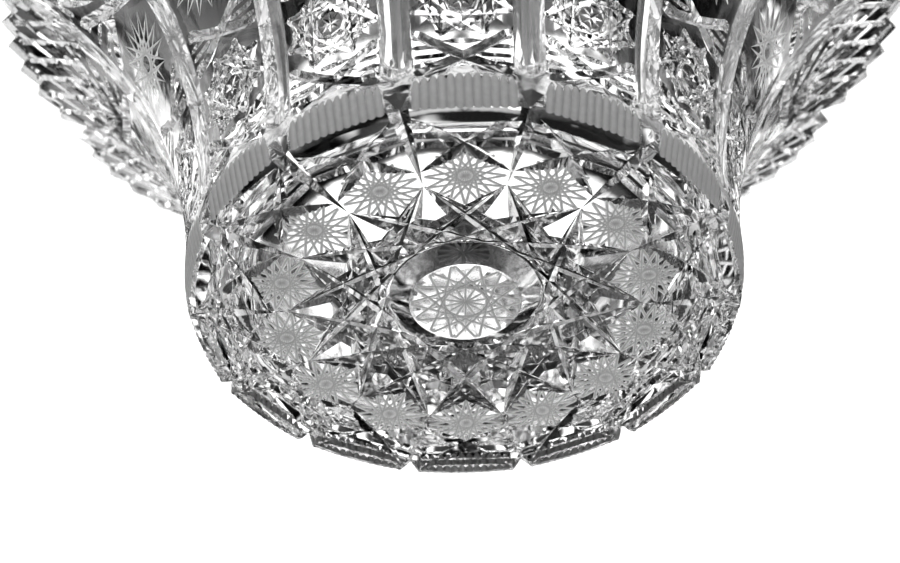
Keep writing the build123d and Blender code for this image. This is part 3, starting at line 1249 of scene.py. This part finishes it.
def make_world(view_look, view_right):
    """White studio. Through the glass one sees a lit card, dark round it, then bright walls."""
    world = bpy.data.worlds.new("studio")
    bpy.context.scene.world = world
    world.use_nodes = True
    tree = world.node_tree
    coords = tree.nodes.new("ShaderNodeTexCoord")

    def math_node(operation, first, second=None):
        node = tree.nodes.new("ShaderNodeMath")
        node.operation = operation
        for socket, value in zip(node.inputs, (first, second)):
            if value is None:
                continue
            if isinstance(value, (int, float)):
                socket.default_value = value
            else:
                tree.links.new(value, socket)
        return node.outputs["Value"]

    def along(direction):
        node = tree.nodes.new("ShaderNodeVectorMath")
        node.operation = "DOT_PRODUCT"
        tree.links.new(coords.outputs["Generated"], node.inputs[0])
        node.inputs[1].default_value = tuple(direction)
        return node.outputs["Value"]

    def ramp(value, stops):
        node = tree.nodes.new("ShaderNodeValToRGB")
        tree.links.new(value, node.inputs["Fac"])
        elements = node.color_ramp.elements
        for element, (place, level) in zip(elements, (stops[0], stops[-1])):
            element.position = place
            element.color = (level,) * 3 + (1,)
        for place, level in stops[1:-1]:
            elements.new(place).color = (level,) * 3 + (1,)
        return node.outputs["Color"]

    height = math_node("DIVIDE", math_node("ADD", along((0, 0, 1)), 1), 2)
    overhead = ramp(height, OVERHEAD_STOPS)
    across = math_node("ABSOLUTE", along(view_right))
    card = ramp(across, CARD_STOPS)
    upper = ramp(height, UPPER_STOPS)
    card = math_node("ADD", math_node("MULTIPLY", card, upper), math_node("SUBTRACT", 1, upper))
    patches = tree.nodes.new("ShaderNodeTexNoise")
    patches.inputs["Scale"].default_value = PATCH_SCALE
    patches.inputs["Detail"].default_value = 1
    tree.links.new(coords.outputs["Generated"], patches.inputs["Vector"])
    walls = ramp(patches.outputs["Fac"], WALL_STOPS)
    ahead = ramp(along(view_look), AHEAD_STOPS)
    walls = math_node("MAXIMUM", walls, ahead)
    level = math_node("MULTIPLY", math_node("MULTIPLY", overhead, card), walls)

    seen = tree.nodes["Background"]
    tree.links.new(level, seen.inputs["Color"])
    seen.inputs["Strength"].default_value = SEEN_STRENGTH
    plain = tree.nodes.new("ShaderNodeBackground")
    plain.inputs["Color"].default_value = (1, 1, 1, 1)
    ray = tree.nodes.new("ShaderNodeLightPath")
    mix = tree.nodes.new("ShaderNodeMixShader")
    straight = math_node("MAXIMUM", ray.outputs["Is Camera Ray"], ray.outputs["Is Diffuse Ray"])
    tree.links.new(straight, mix.inputs["Fac"])
    tree.links.new(seen.outputs["Background"], mix.inputs[1])
    tree.links.new(plain.outputs["Background"], mix.inputs[2])
    tree.links.new(mix.outputs["Shader"], tree.nodes["World Output"].inputs["Surface"])


make_floor()


# ------------------------------------------------------------------ camera, from below and in front
# Angles in radians. AIM is where the middle of the view passes the vase's axis.
TILT = 0.7363
TURN = 0.0150
ROLL = 0.0328
DISTANCE = 8.35 * FOOT * MM
AIM_RIGHT = -0.0529
AIM_UP = 0.128
SENSOR = 36
LENS = 92.1
APERTURE = 22
NEAREST = 0.01
FARTHEST = 100
BOUNCES = 24
GLOSSY_BOUNCES = 12


def make_camera(look, right, up, place):
    """A long lens with its focus on the base of the vase."""
    data = bpy.data.cameras.new("camera")
    camera = bpy.data.objects.new("camera", data)
    bpy.context.scene.collection.objects.link(camera)
    axes = zip(right, up, -look, place)
    camera.matrix_world = Matrix([*axes, (0, 0, 0, 1)])
    data.sensor_width = SENSOR
    data.lens = LENS
    data.clip_start = NEAREST
    data.clip_end = FARTHEST
    data.dof.use_dof = True
    data.dof.focus_object = shown[0]
    data.dof.aperture_fstop = APERTURE
    bpy.context.scene.camera = camera


right = Vector((math.cos(TURN), -math.sin(TURN), 0))
forward = Vector((math.sin(TURN), math.cos(TURN), 0))
look = forward * math.cos(TILT) + Vector((0, 0, math.sin(TILT)))
up = right.cross(look)
aim = (right * AIM_RIGHT + Vector((0, 0, AIM_UP))) * FOOT * MM
rolled_right = right * math.cos(ROLL) - up * math.sin(ROLL)
rolled_up = right * math.sin(ROLL) + up * math.cos(ROLL)
make_camera(look, rolled_right, rolled_up, aim - look * DISTANCE)
make_world(look, rolled_right)

scene = bpy.context.scene
scene.view_settings.view_transform = "Standard"
scene.view_settings.look = "High Contrast"
scene.cycles.max_bounces = BOUNCES
scene.cycles.transmission_bounces = BOUNCES
scene.cycles.glossy_bounces = GLOSSY_BOUNCES
